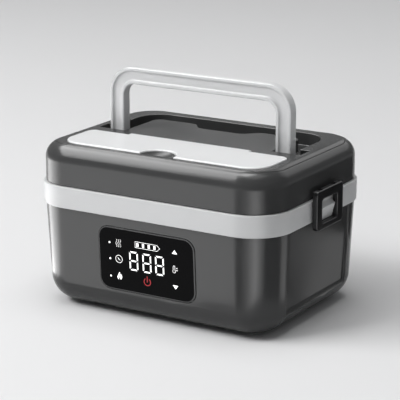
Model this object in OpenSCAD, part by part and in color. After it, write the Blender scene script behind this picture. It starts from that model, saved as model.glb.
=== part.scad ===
// Electric lunch box: a heated base with a display, a lift-off lid held by two
// side latches, a fold-down carrying handle and a cutlery flap in the lid.
// Millimetres, +Z up, front towards -Y. The origin is on the resting surface,
// under the middle of the box.

/* [Overall size] */
// Width over the pale band
band_w = 230; // [222:1:240]
// Depth over the pale band
band_d = 172.4; // [166:0.2:180]
// Plan radius of the band's corners
corner_r = 35; // [34:0.5:37]
// Height that the rubber feet lift the body
foot_h = 2; // [1.5:0.5:2.5]
// Height of the band's lower edge
band_z0 = 86.8; // [86:0.2:88]
// Height of the band's upper edge
band_z1 = 105; // [104:0.5:105]
// Height of the top of the lid
lid_top = 137.7; // [137:0.1:139]
// Height of the top of the upright handle
handle_top = 191.3; // [188:0.1:192]

/* [Lower body] */
// Wall thickness of the body
body_wall = 2.6; // [2:0.1:3]
// Radius of the body's lower edge
base_fillet = 21.8; // [20:0.2:22.4]
// How far the body wall stands inside the band, at the band
body_inset_top = 1.7; // [1.5:0.1:2]
// How far the body wall stands inside the band, at the lower fillet
body_inset_low = 5; // [4:0.1:6]
// Depth of the flat panel sunk into each short side
panel_depth = 1.8; // [1:0.1:2]
// Height at which the panel's lower bevel ends
panel_z = 21.5; // [20:0.5:24]

/* [Display] */
// Width of the glossy display window
window_w = 91; // [80:1:100]
// Height of the glossy display window
window_h = 53.4; // [48:0.2:56]
// Corner radius of the display window
window_r = 9.5; // [6:0.5:12]
// Height of the middle of the display window
window_z = 51.3; // [50:0.1:53]
// How far the window's face stands proud of the wall
window_proud = 0.5; // [0.2:0.1:0.8]

/* [Lid] */
// How far the lid's wall stands inside the band
lid_inset = 2; // [1.8:0.1:2.4]
// Radius of the lid's upper edge
lid_fillet = 13.4; // [12:0.2:14]
// Thickness of the lid's wall
lid_wall = 2.4; // [2:0.1:3]
// Half width of the deck let into the lid's top
deck_x = 105.8; // [104:0.1:106]
// Half depth of the deck let into the lid's top
deck_y = 72.5; // [72:0.1:73]
// Plan radius of the deck's corners
deck_r = 24; // [22:0.5:26]
// Depth of the groove that the handle folds into
groove_depth = 10.8; // [10.6:0.1:12]
// Depth of the cutlery trough below the lid's top
trough_depth = 18; // [12:0.5:20]

/* [Handle] */
// Half width over the handle's legs
handle_x = 86.95; // [85:0.05:87]
// Width of the handle's section, seen from the front
handle_bar = 14; // [12:0.1:14]
// Thickness of the handle's section, front to back
handle_t = 9.5; // [8:0.1:9.5]
// Outer corner radius of the handle
handle_r = 22; // [18:0.5:23]
// Depth of the channel in the handle's front face
handle_channel = 2; // [1:0.1:3]
// Width of the raised rib on each side of the channel
handle_rib = 2.8; // [2:0.1:3.5]
// Diameter of the handle's pivot pins
pivot_d = 4; // [3:0.1:4.5]
// Depth of the pivot below the lid's top
pivot_drop = 5.5; // [5.4:0.1:5.8]
// Front-to-back place of the pivot
pivot_y = 0.5; // [0:0.1:1]

/* [Cutlery flap] */
// Half width of the flap
flap_x = 95.5; // [90:0.5:96]
// Front edge of the flap, measured forward from the middle
flap_front = 67.5; // [66:0.1:68]
// Rear edge of the flap, measured forward from the middle
flap_rear = 19.8; // [19.6:0.1:21]
// How far the flap stands proud of the lid
flap_proud = 0.8; // [0.4:0.1:1]
// Radius of the half-moon finger notch in the flap's front edge
notch_r = 15.5; // [14:0.5:17]
// Depth of the finger scoop in the deck, inside the notch
scoop_depth = 3; // [2:0.1:3.2]
// Radius of the flap's hinge barrel
barrel_r = 2.3; // [2.2:0.1:2.4]
// Half length of the flap's hinge barrel
barrel_x = 57.5; // [50:0.5:60]

/* [Latches] */
// Width of a latch loop along the side of the box
latch_w = 44; // [40:1:45]
// Height of a latch loop
latch_h = 32.8; // [32.4:0.1:33]
// Thickness of a latch loop
latch_t = 4.6; // [4.4:0.1:4.8]
// Diameter of a latch pin
latch_pin_d = 1.8; // [1.6:0.1:2]

/* [Heating and power] */
// Diameter of a battery cell
cell_d = 18.4; // [18:0.1:18.6]
// Length of a battery cell
cell_l = 65; // [64:0.5:66]
// Number of battery cells
cell_count = 6; // [4:1:6]
// Wall thickness of the steel food container
container_wall = 0.8; // [0.6:0.1:1]

/* [Hidden] */
$fn = 96;

big = 400;                 // longer than anything it cuts
cx = band_w/2 - corner_r;  // centres of the plan corners
cy = band_d/2 - corner_r;

// Body wall
fillet_z = foot_h + base_fillet;
draft = atan((body_inset_low - body_inset_top)/(band_z0 - fillet_z));
fillet_rc = corner_r - body_inset_low - base_fillet/cos(draft);
rim_z = 101.5;             // top of the body's inner rim
rim_r = 31.5;
rim_in_r = 29.4;
step_z = 80;               // where the wall turns into the rim inside
panel_bevel_h = 8.3;       // the panel's lower bevel, down to below the wall's surface
panel_slope = 0.15;        // how fast that bevel runs outwards

// Lid
lid_r = corner_r - lid_inset;
lid_z0 = band_z1 + 0.3;
lid_fr = lid_r - lid_fillet;
lid_fz = lid_top - lid_fillet;
deck_t = 3;
ledge_z = 125.9;           // the deck's skirt stands on this ledge
ledge_t = 2.3;
cover_z = 108;             // underside of the lid's inner cover
cover_t = 2.2;
groove_x = 88.2;           // half width of the handle's groove
groove_front = -6.5;
groove_back = 63;
groove_r = 23.3;
island_x = 71;
island_back = 44.4;
island_r = 8;
well_rear = 33;            // half width of the finger well at its mouth
well_front = 22;
well_y = 32.5;
pocket_x = 97;             // the pivot pockets widen the groove to here
pocket_back = 9;
trough_x = 85;
trough_y0 = -61;
trough_y1 = -25;
shell_t = 2;               // wall of the groove and the trough
flap_t = 3.2;
flap_z0 = lid_top + flap_proud - flap_t;
flap_axis_y = -17.2;
flap_axis_z = lid_top + flap_proud - barrel_r;
flap_pin_d = 1.6;
scoop_r = notch_r - 0.5;   // the scoop's island stands inside the notch
scoop_rim = scoop_r - 0.5; // radius of the dish at the lid's top
scoop_sphere = (scoop_rim*scoop_rim + scoop_depth*scoop_depth)/(2*scoop_depth);
scoop_wall = 2;

// Handle
pivot_z = lid_top - pivot_drop;
pin_fit = 0.05;            // radial play of a pin in its bore
pivot_in = 68.8;
pivot_out = 99;

// Latches
latch_x1 = 121;            // outer face of a latch
latch_x0 = latch_x1 - latch_t;
latch_z0 = 80.4;
latch_y = 1.2;             // the latches sit a little behind the middle
latch_pin_x = 118.2;
latch_pin_z = 109.4;
loop_w = 26.4;             // opening of the loop
loop_y = latch_y - 0.4;
loop_h = 19.8;
loop_z0 = 85.4;
lug_y0 = 9;
lug_y1 = 14;
lug_r = 1.7;
latch_skin_x = latch_x1 - 0.95;
catch_w = 25;
catch_x = 119.2;           // the catch's furthest reach
catch_low_x = 116;         // reach of its lower edge, just inside the latch's bar
catch_z0 = loop_z0 + 0.4;
catch_z1 = 97;
catch_top = 100.6;

// Base contents
pan_r = 17.2;
pan_t = 1.2;
pan_floor = 39.6;
pan_rim = rim_z + 0.1;
box_r = 14.6;              // food container, from the corner centres
box_z0 = 41.1;
box_z1 = 103.9;
cell_z = 15.4;
cell_y0 = -12;
cell_pitch = 19.4;
holder_t = 6;
holder_z0 = 5.2;
holder_z1 = 25.6;
cover_lip_r = 8.7;
cover_plug_r = 5.7;
screw_corner = 5.3;        // bottom screws, from the corner centres
foot_x = 72;
foot_y = 44;
board_z = 10;
board_x = 55;
board_y0 = -57;
board_y1 = -24;
window_t = 1.6;
window_back = window_t - window_proud;
socket_x = 66;
socket_z = 30;
window_y = -(cy + wall_r(window_z));   // wall surface at the window's middle

function wall_r(z) = fillet_rc + base_fillet/cos(draft) + (z - fillet_z)*tan(draft);

// ---------- helpers ----------

// A body with rounded plan corners: child 0 is its wall profile, drawn as
// distance outward from the corner centres (x) against height (y). fill gives
// the height range of the middle block, or [0, 0] for an open ring.
module rounded_plan(x, y, fill) {
    for (sx = [0, 1], sy = [0, 1])
        mirror([sx, 0, 0]) mirror([0, sy, 0])
            translate([x, y, 0]) rotate_extrude(angle = 90) children();
    for (s = [0, 1]) {
        mirror([0, s, 0]) translate([-x, y, 0])
            rotate([90, 0, 90]) linear_extrude(2*x) children();
        mirror([s, 0, 0]) rotate([0, 0, -90]) translate([-y, x, 0])
            rotate([90, 0, 90]) linear_extrude(2*y) children();
    }
    if (fill[1] > fill[0])
        translate([-x, -y, fill[0]]) cube([2*x, 2*y, fill[1] - fill[0]]);
}

// Rectangle from p to q whose four corner radii are r = [ll, lr, ur, ul]
module round_rect(p, q, r) {
    rmax = max(r);
    corners = [[p[0], p[1], 1, 1], [q[0], p[1], -1, 1],
               [q[0], q[1], -1, -1], [p[0], q[1], 1, -1]];
    difference() {
        translate(p) square(q - p);
        for (i = [0:3]) if (r[i] > 0) {
            c = corners[i];
            translate([c[0], c[1]]) scale([c[2], c[3]]) difference() {
                translate([-1, -1]) square(r[i] + 1);
                translate([r[i], r[i]]) circle(r[i]);
            }
        }
    }
}

// Centred rectangle with one corner radius
module round_rect_c(w, h, r) {
    round_rect([-w/2, -h/2], [w/2, h/2], [r, r, r, r]);
}

// Cylinder along X from x0 to x1
module rod_x(x0, x1, y, z, d) {
    translate([x0, y, z]) rotate([0, 90, 0]) cylinder(h = x1 - x0, d = d);
}

// Cylinder along Y from y0 to y1
module rod_y(y0, y1, x, z, d) {
    translate([x, y0, z]) rotate([-90, 0, 0]) cylinder(h = y1 - y0, d = d);
}

// Box from one corner to the opposite one
module block(p, q) {
    translate(p) cube(q - p);
}

// Pan-head screw whose head's underside is at the origin, shank up
module screw(d, l, head_d, head_h) {
    difference() {
        union() {
            cylinder(h = l, d = d);
            translate([0, 0, -head_h]) cylinder(h = head_h, d = head_d);
        }
        for (a = [0, 90]) rotate([0, 0, a])
            translate([-head_d*0.3, -0.35, -head_h - 1])
                cube([head_d*0.6, 0.7, 1 + head_h*0.55]);
    }
}

// Straight runs of wire from point to point, with round elbows
module wire(points, d) {
    for (i = [0:len(points) - 2]) {
        v = points[i + 1] - points[i];
        l = norm(v);
        translate(points[i])
            rotate([0, acos(v[2]/l), atan2(v[1], v[0])])
                cylinder(h = l, d = d);
        if (i > 0) translate(points[i]) sphere(d = d);
    }
}

// ---------- base ----------

// Wall profile of the body, moved inwards by t and cut off at z_top
module body_profile(t, z_top) {
    rf = base_fillet - t;
    tip = [fillet_rc + rf*cos(draft), fillet_z - rf*sin(draft)];
    top_r = fillet_rc + rf/cos(draft) + (z_top - fillet_z)*tan(draft);
    polygon([[0, fillet_z - rf/2], [fillet_rc, fillet_z - rf/2], tip, [top_r, z_top], [0, z_top]]);
    intersection() {
        translate([fillet_rc, fillet_z]) circle(rf);
        translate([0, fillet_z - rf]) square([fillet_rc + rf*cos(draft), rf*(1 - sin(draft))]);
    }
    translate([0, fillet_z - rf]) square([fillet_rc, rf]);
}

// Stands in the wall's own slope at the window: +Y points into the box
module at_window() {
    translate([0, window_y, window_z]) rotate([draft, 0, 0]) children();
}

// Plate in the window's plane, from depth y0 to depth y1
module window_plate(w, h, r, y0, y1) {
    translate([0, y1, 0]) rotate([90, 0, 0]) linear_extrude(y1 - y0) round_rect_c(w, h, r);
}

// Flat panel sunk into the right-hand wall, with a sloping lower edge
module side_panel_cut() {
    x0 = cx + wall_r(panel_z);
    x1 = cx + wall_r(band_z0);
    d = panel_depth;
    low = panel_z - panel_bevel_h;
    intersection() {
        translate([0, cy, 0]) rotate([90, 0, 0]) linear_extrude(2*cy)
            polygon([[x0 - d, panel_z], [x0 - d + panel_bevel_h*panel_slope, low], [x1 + 5, low],
                     [x1 + 5, band_z0 + 1], [x1 - d, band_z0 + 1]]);
        linear_extrude(big) polygon([[x0 - d - 1, -cy + 2.6], [x0 + 1.5, -cy],
            [x1 + 6, -cy], [x1 + 6, cy], [x0 + 1.5, cy], [x0 - d - 1, cy - 2.6]]);
    }
}

module lower_body() {
    color("#5d5e60") difference() {
        union() {
            rounded_plan(cx, cy, [foot_h, band_z0]) body_profile(0, band_z0);
            rounded_plan(cx, cy, [band_z0, rim_z])
                translate([0, band_z0 - 0.01]) square([rim_r, rim_z - band_z0 + 0.01]);
            translate([socket_x, cy + wall_r(socket_z) + 1, socket_z])
                rotate([90, 0, 0]) cylinder(h = 3, d = 17);
        }
        difference() {
            union() {
                rounded_plan(cx, cy, [foot_h + body_wall, step_z]) body_profile(body_wall, step_z);
                rounded_plan(cx, cy, [step_z - 1, rim_z + 1])
                    translate([0, step_z - 1]) square([rim_in_r, rim_z - step_z + 2]);
            }
            bottom_bosses();
        }
        side_panel_cut();
        mirror([1, 0, 0]) side_panel_cut();
        at_window() {
            window_plate(window_w + 0.6, window_h + 0.6, window_r + 0.3, -4, window_back + 0.2);
            window_plate(window_w - 10, window_h - 10, window_r - 4, -4, body_wall + 4);
        }
        rounded_plan(cx, cy, [foot_h - 1, foot_h + body_wall + 1])
            translate([0, foot_h - 1]) square([6, body_wall + 2]);
        rounded_plan(cx, cy, [foot_h - 1, foot_h + 1.4])
            translate([0, foot_h - 1]) square([9, 2.4]);
        for (sx = [-1, 1], sy = [-1, 1])
            translate([sx*(cx + screw_corner), sy*(cy + screw_corner), foot_h])
                cylinder(h = 9, d = 2.6);
        rod_y(cy, cy + 60, socket_x, socket_z, 11.8);
    }
}

module bottom_bosses() {
    for (sx = [-1, 1], sy = [-1, 1])
        translate([sx*(cx + screw_corner), sy*(cy + screw_corner), foot_h])
            cylinder(h = 10.6, d = 7);
}

module bottom_cover() {
    color("#3a3b3d") difference() {
        union() {
            rounded_plan(cx, cy, [foot_h, foot_h + 1.3])
                translate([0, foot_h]) square([cover_lip_r, 1.3]);
            rounded_plan(cx, cy, [foot_h + 1.3, foot_h + 2.6])
                translate([0, foot_h + 1.29]) square([cover_plug_r, 1.31]);
            for (p = board_holes()) translate([p[0], p[1], foot_h + 2.5])
                cylinder(h = board_z - foot_h - 2.5, d = 6);
        }
        for (sx = [-1, 1], sy = [-1, 1]) {
            translate([sx*foot_x, sy*foot_y, foot_h - 1]) cylinder(h = 2, d = 12.2);
            translate([sx*(cx + screw_corner), sy*(cy + screw_corner), foot_h - 1])
                cylinder(h = 4, d = 3.2);
        }
        for (p = board_holes()) translate([p[0], p[1], foot_h + 2.5])
            cylinder(h = board_z, d = 2);
    }
}

function board_holes() =
    [for (sx = [-1, 1], y = [board_y0 + 4, board_y1 - 4]) [sx*(board_x - 4), y]];

module feet() {
    color("#1d1d1f") for (sx = [-1, 1], sy = [-1, 1])
        translate([sx*foot_x, sy*foot_y, 0]) {
            cylinder(h = 1, d1 = 10.4, d2 = 12);
            translate([0, 0, 0.99]) cylinder(h = foot_h + 0.01, d = 12);
        }
}

module bottom_screws() {
    color("silver") for (sx = [-1, 1], sy = [-1, 1])
        translate([sx*(cx + screw_corner), sy*(cy + screw_corner), foot_h - 0.1])
            screw(2.5, 9, 5, 1.4);
}

// Pale ring that covers the joint, with the two catches for the latches
module band() {
    color("#e6e7e8") {
        rounded_plan(cx, cy, [0, 0])
            round_rect([rim_r + 0.1, band_z0 + 0.1], [corner_r, band_z1], [0, 1.2, 1.2, 0]);
        rounded_plan(cx, cy, [0, 0])
            translate([26.5, rim_z + 1.5]) square([rim_r - 26.3, band_z1 - rim_z - 1.5]);
        latch_catch();
        mirror([1, 0, 0]) latch_catch();
    }
}

// Wedge above the right-hand latch's lower bar. Its face leans in towards the
// bar, so the bar slides out past it when the latch swings and the lid rises.
module latch_catch() {
    x = cx + corner_r;
    translate([0, loop_y + catch_w/2, 0]) rotate([90, 0, 0]) linear_extrude(catch_w)
        polygon([[x - 1, catch_z0], [catch_low_x, catch_z0], [catch_x, catch_z1],
                 [x - 0.4, catch_top], [x - 1, catch_top]]);
}

module display_window() {
    color("#0c0d0f") at_window()
        window_plate(window_w, window_h, window_r, -window_proud, window_back);
}

module led_module() {
    color("#2c2d30") at_window()
        translate([-26, window_back + 0.1, -15]) cube([56, 4.7, 32]);
}

module display_board() {
    color("#1d6b3c") at_window() difference() {
        window_plate(78, 40, 3, window_back + 4.9, window_back + 6.5);
        for (sx = [-1, 1]) rod_y(0, 20, sx*35, 0, 2.4);
    }
}

// Flat cable from the display board down to the power board
module display_ribbon() {
    y0 = window_y + window_t + 8.4;
    color("#d7d2c4") translate([-8, 0, 0]) rotate([90, 0, 90]) linear_extrude(16)
        polygon([[y0, window_z - 8], [y0 + 0.5, window_z - 8], [y0 + 0.5, 18], [board_y0 + 12.5, 18],
                 [board_y0 + 12.5, board_z + 1.7], [board_y0 + 12, board_z + 1.7],
                 [board_y0 + 12, 17.5], [y0, 17.5]]);
}

// Aluminium well that the food container stands in
module heating_pan() {
    color("#c9cbce") difference() {
        union() {
            rounded_plan(cx, cy, [pan_floor, pan_rim + pan_t])
                translate([0, pan_floor]) square([pan_r, pan_rim + pan_t - pan_floor]);
            rounded_plan(cx, cy, [0, 0])
                translate([pan_r - 0.1, pan_rim]) square([rim_r - pan_r, pan_t]);
        }
        rounded_plan(cx, cy, [pan_floor + pan_t, pan_rim + 5])
            translate([0, pan_floor + pan_t]) square([pan_r - pan_t, pan_rim - pan_floor + 4]);
    }
}

module ptc_heater() {
    color("#b9bbbd") difference() {
        block([-48, -30, pan_floor - 5.1], [48, 30, pan_floor - 0.1]);
        for (i = [-3:3]) block([i*13 - 2, -31, pan_floor - 6], [i*13 + 2, 31, pan_floor - 3.6]);
    }
}

module heater_bracket() {
    z = pan_floor - 5.2;
    color("silver") difference() {
        union() {
            block([-62, -8, z - 1], [62, 8, z]);
            for (s = [-1, 1]) block([s*61 - 1, -8, z - 1], [s*61 + 1, 8, pan_floor - 0.1]);
        }
        for (s = [-1, 1]) translate([s*55, 0, z - 5]) cylinder(h = 10, d = 3.2);
    }
}

module insulation_pad() {
    color("#d9d6cb") difference() {
        translate([0, 0, 27.4]) linear_extrude(3) round_rect_c(176, 118, 10);
        translate([70, -40, 20]) cylinder(h = 20, d = 12);
    }
}

module thermal_fuse() {
    color("#e9e4d6") rod_y(-40, -28, 56, pan_floor - 2.8, 5);
}

module temp_sensor() {
    color("#2a2a2c") {
        rod_y(16, 24, -56, pan_floor - 2.3, 4);
        translate([-56, 24, pan_floor - 2.3]) sphere(d = 4);
    }
}

function cell_x(i) = (i - (cell_count - 1)/2)*cell_pitch;

module battery_cells() {
    color("#2f7d8c") for (i = [0:cell_count - 1])
        rod_y(cell_y0, cell_y0 + cell_l, cell_x(i), cell_z, cell_d);
}

// Plastic rack that holds one end of every cell
module cell_holder(y) {
    w = cell_count*cell_pitch/2 + 1.6;
    color("#222326") difference() {
        block([-w, y, holder_z0], [w, y + holder_t, holder_z1]);
        for (i = [0:cell_count - 1])
            rod_y(y - 1, y + holder_t + 1, cell_x(i), cell_z, cell_d + 0.2);
    }
}

module cell_holder_front() {
    cell_holder(cell_y0 + 3);
}

module cell_holder_rear() {
    cell_holder(cell_y0 + cell_l - holder_t - 3);
}

module cell_strips() {
    w = cell_x(cell_count - 1) + 5;
    color("#b8bcc0") for (y = [cell_y0 - 0.3, cell_y0 + cell_l])
        block([-w, y, cell_z - 4], [w, y + 0.3, cell_z + 4]);
}

module power_board() {
    color("#1d6b3c") difference() {
        union() {
            block([-board_x, board_y0, board_z], [board_x, board_y1, board_z + 1.6]);
            block([-44, board_y0 + 16, board_z + 1.5], [-26, board_y1 - 2, board_z + 9]);
            block([14, board_y0 + 8, board_z + 1.5], [22, board_y0 + 16, board_z + 5]);
            for (x = [30, 40]) translate([x, board_y0 + 24, board_z + 1.5]) cylinder(h = 9, d = 8);
        }
        for (p = board_holes()) translate([p[0], p[1], 0]) cylinder(h = 40, d = 2.3);
    }
}

module board_screws() {
    color("silver") for (p = board_holes())
        translate([p[0], p[1], board_z + 1.7]) mirror([0, 0, 1]) screw(1.9, 7, 4, 1.3);
}

module heater_lead() {
    color("#b5352c") for (s = [0, 3.4])
        wire([[48.2, -22 + s, pan_floor - 4], [69 + s, -22 + s, pan_floor - 4],
              [69 + s, -38 - s, pan_floor - 4], [69 + s, -38 - s, board_z + 6],
              [50, -38 - s, board_z + 6], [50, -38 - s, board_z + 1.7]], 2.2);
}

module battery_lead() {
    color("#b5352c") for (s = [-1, 1])
        wire([[s*10 - 40, board_y1 - 6, board_z + 11], [s*10 - 40, cell_y0 - 2.6, board_z + 11],
              [s*10 - 40, cell_y0 - 2.6, cell_z + 3]], 2);
}

// Charging inlet in the rear wall
module dc_socket() {
    y1 = cy + wall_r(socket_z) + 1;
    color("#1b1b1d") {
        difference() {
            union() {
                rod_y(y1 - 15, y1 + 0.1, socket_x, socket_z, 11.6);
                rod_y(y1 + 0.05, y1 + 1.6, socket_x, socket_z, 15);
            }
            rod_y(y1 - 9, y1 + 5, socket_x, socket_z, 5.6);
        }
        rod_y(y1 - 9.5, y1 - 0.5, socket_x, socket_z, 2);
    }
}

module socket_lead() {
    y1 = cy + wall_r(socket_z) - 14.1;
    color("#202022") for (s = [-1, 1])
        wire([[socket_x + 2.5*s, y1, socket_z], [socket_x + 2.5*s, y1 - 3, socket_z],
              [socket_x + 2.5*s, y1 - 3, board_z + 6 - 1.5*s],
              [socket_x + 2.5*s, -31 + 2.5*s, board_z + 6 - 1.5*s],
              [board_x - 8, -31 + 2.5*s, board_z + 6 - 1.5*s],
              [board_x - 8, -31 + 2.5*s, board_z + 1.7]], 1.8);
}

// ---------- lid ----------

// Wall profile of the lid, moved inwards by t, from z0 up
module lid_profile(t, z0) {
    rf = lid_fillet - t;
    translate([0, z0]) square([lid_r - t, lid_fz - z0]);
    intersection() {
        translate([lid_fr, lid_fz]) circle(rf);
        translate([lid_fr, lid_fz]) square(lid_fillet);
    }
    translate([0, lid_fz]) square([lid_fr, rf]);
}

module dome(t, z0) {
    rounded_plan(cx, cy, [z0, lid_top - t]) lid_profile(t, z0);
}

// Plan of the deck, moved outwards by t
module deck_plan(t) {
    r = deck_r + t;
    round_rect([-deck_x - t, -deck_y - t], [deck_x + t, deck_y + t], [r, r, r, r]);
}

module lid_screw_places() {
    for (p = [[104.4, 36], [104.4, -36], [-104.4, 36], [-104.4, -36], [0, 76], [0, -76]])
        translate([p[0], p[1], 0]) children();
}

module lid_shell() {
    color("#58595b") difference() {
        union() {
            difference() {
                dome(0, lid_z0);
                dome(lid_wall, lid_z0 - 1);
            }
            rounded_plan(cx, cy, [0, 0])
                translate([20, ledge_z - ledge_t]) square([lid_r - lid_wall - 19.9, ledge_t]);
            lid_screw_places() translate([0, 0, cover_z + cover_t + 0.1])
                cylinder(h = ledge_z - ledge_t - cover_z - cover_t, d = 7);
            for (s = [0, 1]) mirror([s, 0, 0]) latch_lugs();
        }
        translate([0, 0, ledge_z]) linear_extrude(big) deck_plan(0.35);
        lid_screw_places() translate([0, 0, cover_z]) cylinder(h = 14, d = 2.5);
        for (s = [0, 1]) mirror([s, 0, 0]) rod_y(-30, 30, latch_pin_x, latch_pin_z, latch_pin_d);
    }
}

// Two lugs on the right-hand wall that carry the latch pin
module latch_lugs() {
    for (s = [0, 1]) mirror([0, s, 0]) {
        block([cx + lid_r - 1, lug_y0, latch_pin_z - lug_r], [latch_pin_x, lug_y1, latch_pin_z + lug_r]);
        rod_y(lug_y0, lug_y1, latch_pin_x, latch_pin_z, 2*lug_r);
    }
}

// Outline of the handle's groove, moved outwards by t
module groove_outer(t) {
    round_rect([-groove_x - t, groove_front - t], [groove_x + t, groove_back + t],
               [1, 1, groove_r + t, groove_r + t]);
    round_rect([-pocket_x - t, groove_front - t], [pocket_x + t, pocket_back + t], [1, 1, 1, 1]);
}

// Outline of the island inside the groove, moved inwards by t
module island(t) {
    difference() {
        round_rect([-island_x + t, groove_front - 20], [island_x - t, island_back - t],
                   [0, 0, island_r, island_r]);
        polygon([[-well_front - t, well_y - t], [well_front + t, well_y - t],
                 [well_rear + t, island_back + 5], [-well_rear - t, island_back + 5]]);
    }
}

module flap_plan(t) {
    round_rect([-flap_x - t, -flap_front - t], [flap_x + t, -flap_rear + t],
               [18 + t, 18 + t, 7 + t, 7 + t]);
}

// Block inside the finger notch, from z0 up to z1
module scoop_boss(r, z0, z1) {
    translate([0, 0, z0]) linear_extrude(z1 - z0) intersection() {
        translate([0, -flap_front]) circle(r);
        translate([-r, -flap_front - 2]) square([2*r, r + 3]);
    }
}

// Shallow dish that a fingertip reaches into, in front of the flap's edge
module scoop_cut() {
    intersection() {
        translate([0, -flap_front, lid_top - scoop_depth + scoop_sphere]) sphere(r = scoop_sphere);
        block([-notch_r, -flap_front - 0.5, lid_top - scoop_depth - 1], [notch_r, 0, lid_top + 0.5]);
    }
}

module lid_deck() {
    groove_z = lid_top - groove_depth;
    trough_z = lid_top - trough_depth;
    scoop_z = lid_top - scoop_depth - scoop_wall;
    color("#5c5d5f") difference() {
        union() {
            intersection() {
                dome(0, lid_z0);
                translate([0, 0, lid_top - deck_t]) linear_extrude(big) deck_plan(0);
            }
            intersection() {
                dome(0, lid_z0);
                translate([0, 0, ledge_z + 0.1]) linear_extrude(big) difference() {
                    deck_plan(0);
                    deck_plan(-2);
                }
            }
            translate([0, 0, groove_z - shell_t]) linear_extrude(groove_depth - 0.5) difference() {
                groove_outer(shell_t);
                island(shell_t);
            }
            block([-trough_x - shell_t, trough_y0 - shell_t, trough_z - shell_t],
                  [trough_x + shell_t, trough_y1 + shell_t, lid_top - 2]);
            block([-pocket_x - shell_t, groove_front - shell_t, groove_z - shell_t],
                  [-island_x + shell_t, groove_front, lid_top - 2]);
            block([island_x - shell_t, groove_front - shell_t, groove_z - shell_t],
                  [pocket_x + shell_t, groove_front, lid_top - 2]);
            block([-barrel_x - 6, trough_y1 + shell_t, lid_top - 6.4], [barrel_x + 6, -12.5, lid_top - 2]);
            scoop_boss(notch_r + scoop_wall, scoop_z, lid_top - 2);
        }
        translate([0, 0, groove_z]) linear_extrude(big) difference() {
            groove_outer(0);
            island(0);
        }
        translate([0, 0, flap_z0 - 0.3]) linear_extrude(big) difference() {
            flap_plan(0.5);
            translate([0, -flap_front]) circle(scoop_r);
        }
        difference() {
            block([-trough_x, trough_y0, trough_z], [trough_x, trough_y1, big]);
            scoop_boss(notch_r + scoop_wall, scoop_z, big);
        }
        rod_x(-barrel_x - 0.4, barrel_x + 0.4, flap_axis_y, flap_axis_z, 2*barrel_r + 0.7);
        block([-barrel_x - 0.4, flap_axis_y - barrel_r - 0.35, flap_axis_z],
              [barrel_x + 0.4, flap_axis_y + barrel_r + 0.35, big]);
        block([-barrel_x - 0.4, -flap_rear - 1, flap_axis_z - barrel_r - 0.35],
              [barrel_x + 0.4, flap_axis_y, big]);
        scoop_cut();
        rod_x(-barrel_x - 5, barrel_x + 5, flap_axis_y, flap_axis_z, flap_pin_d);
        for (s = [0, 1]) mirror([s, 0, 0])
            rod_x(pivot_in, pivot_out, pivot_y, pivot_z, pivot_d);
    }
}

module lid_inner_cover() {
    color("#d8dadb") difference() {
        rounded_plan(cx, cy, [cover_z, cover_z + cover_t])
            translate([0, cover_z]) square([lid_r - lid_wall - 0.2, cover_t]);
        lid_screw_places() translate([0, 0, cover_z - 1]) cylinder(h = 6, d = 3.2);
    }
}

module lid_gasket() {
    color("#eceae4") rounded_plan(cx, cy, [0, 0])
        round_rect([27.6, lid_z0 + 0.1], [30.2, cover_z], [1.1, 1.1, 0, 0]);
}

module lid_screws() {
    color("silver") lid_screw_places() translate([0, 0, cover_z]) screw(2.5, 12, 5, 1.8);
}

module handle_pins() {
    color("silver") for (s = [0, 1]) mirror([s, 0, 0])
        rod_x(pivot_in, pivot_out, pivot_y, pivot_z, pivot_d);
}

module flap_pins() {
    color("silver") for (s = [0, 1]) mirror([s, 0, 0])
        rod_x(barrel_x - 5, barrel_x + 5, flap_axis_y, flap_axis_z, flap_pin_d);
}

module latch_pins() {
    color("silver") for (s = [0, 1]) mirror([s, 0, 0])
        rod_y(-18, 18, latch_pin_x, latch_pin_z, latch_pin_d);
}

// ---------- moving parts of the lid ----------

// Arch of the handle in the XZ plane, its edges moved inwards by t
module handle_arch(t) {
    bar = handle_bar;
    difference() {
        round_rect([-handle_x + t, pivot_z], [handle_x - t, handle_top - t],
                   [0, 0, handle_r - t, handle_r - t]);
        round_rect([-handle_x + bar - t, pivot_z - 1], [handle_x - bar + t, handle_top - bar + t],
                   [0, 0, handle_r - bar + t + 2, handle_r - bar + t + 2]);
    }
}

module handle() {
    y0 = pivot_y - handle_t/2;
    y1 = pivot_y + handle_t/2;
    color("#dcdddf") difference() {
        union() {
            translate([0, y1, 0]) rotate([90, 0, 0]) linear_extrude(handle_t) handle_arch(0);
            for (s = [0, 1]) mirror([s, 0, 0]) {
                rod_x(handle_x - handle_bar, handle_x, pivot_y, pivot_z, handle_t);
                translate([handle_x - 0.4, pivot_y + 2, pivot_z + 15]) sphere(r = 1.4);
            }
        }
        intersection() {
            translate([0, y0 + handle_channel, 0]) rotate([90, 0, 0])
                linear_extrude(handle_channel + 1) handle_arch(handle_rib);
            block([-big, y0 - 2, pivot_z + 2.5], [big, y1, big]);
        }
        for (s = [0, 1]) mirror([s, 0, 0])
            rod_x(handle_x - handle_bar - 1, handle_x + 1, pivot_y, pivot_z, pivot_d + 2*pin_fit);
    }
}

module cutlery_flap() {
    color("#f2f3f4") difference() {
        union() {
            translate([0, 0, flap_z0]) linear_extrude(flap_t) flap_plan(0);
            rod_x(-barrel_x, barrel_x, flap_axis_y, flap_axis_z, 2*barrel_r);
            block([-barrel_x, -flap_rear - 2, flap_z0], [barrel_x, flap_axis_y, flap_z0 + flap_t]);
        }
        translate([0, -flap_front, flap_z0 - 1]) cylinder(h = flap_t + 2, r = notch_r);
        for (s = [0, 1]) mirror([s, 0, 0])
            rod_x(barrel_x - 5.2, barrel_x + 1, flap_axis_y, flap_axis_z, flap_pin_d + 2*pin_fit);
    }
}

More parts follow.
